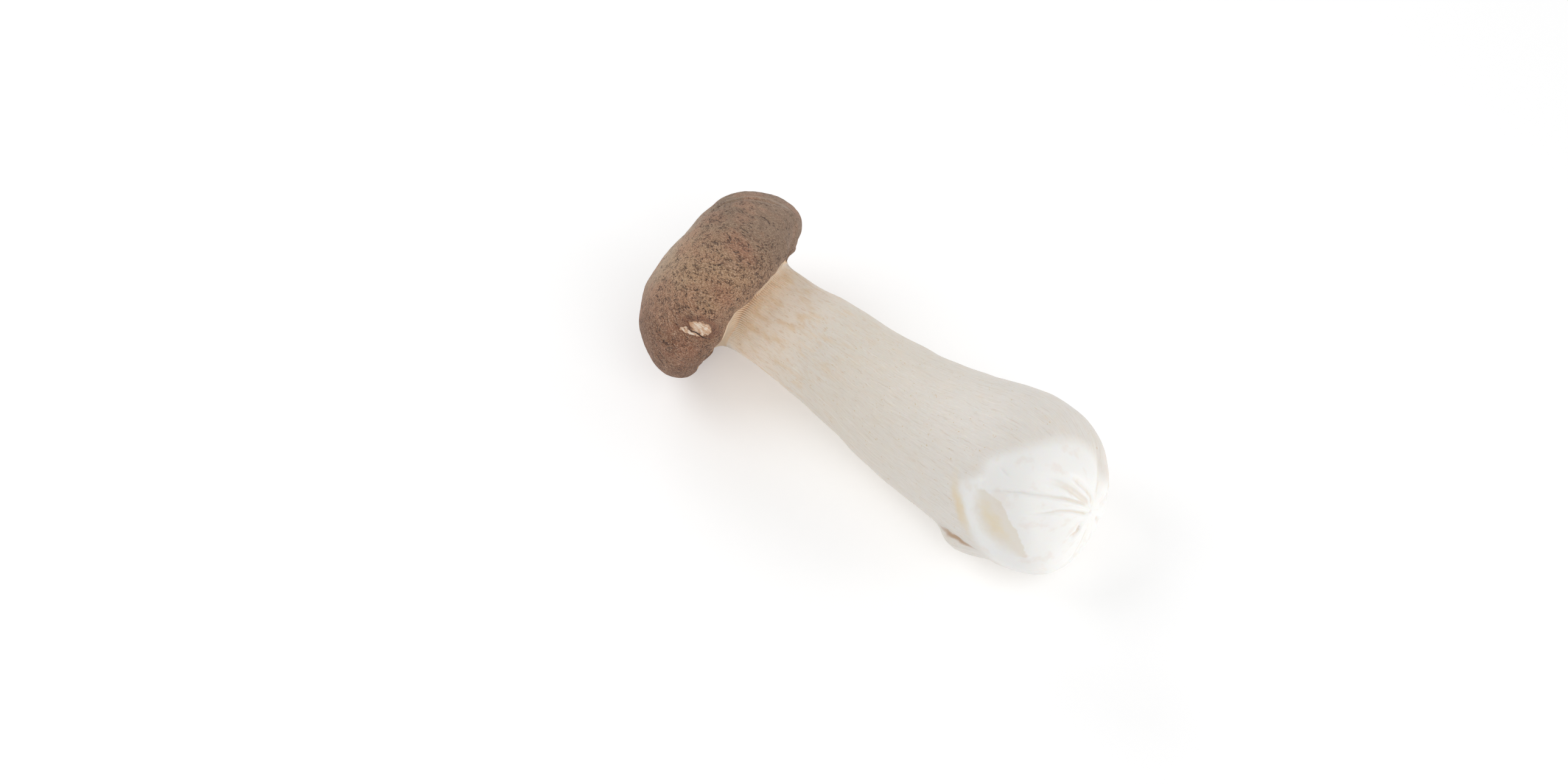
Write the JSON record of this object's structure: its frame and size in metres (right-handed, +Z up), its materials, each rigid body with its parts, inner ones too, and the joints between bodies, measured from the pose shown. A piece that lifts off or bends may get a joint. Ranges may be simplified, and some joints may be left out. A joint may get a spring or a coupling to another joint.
{
  "type": "king oyster mushroom",
  "caption": "Whole picked king oyster mushroom lying on its side: domed brown cap, gills that run onto the neck, thick pale stem with a bulbous base.",
  "frame": {"origin": "bottom centre of the mushroom's bounding box, on the surface that it lies on", "axes": "+X along the mushroom from its cap to its base, +Z up, -Y on the side where the cap's margin droops most"},
  "size_m": [0.1538, 0.0615, 0.0554],
  "materials": {
    "flesh": "satin ivory stem flesh, finely fibrous along its length; tan gills",
    "cap_skin": "matt brown cap skin, finely cracked and granular"
  },
  "bodies": {
    "root": {"king_oyster_mushroom": "flesh"}
  },
  "joints": []
}
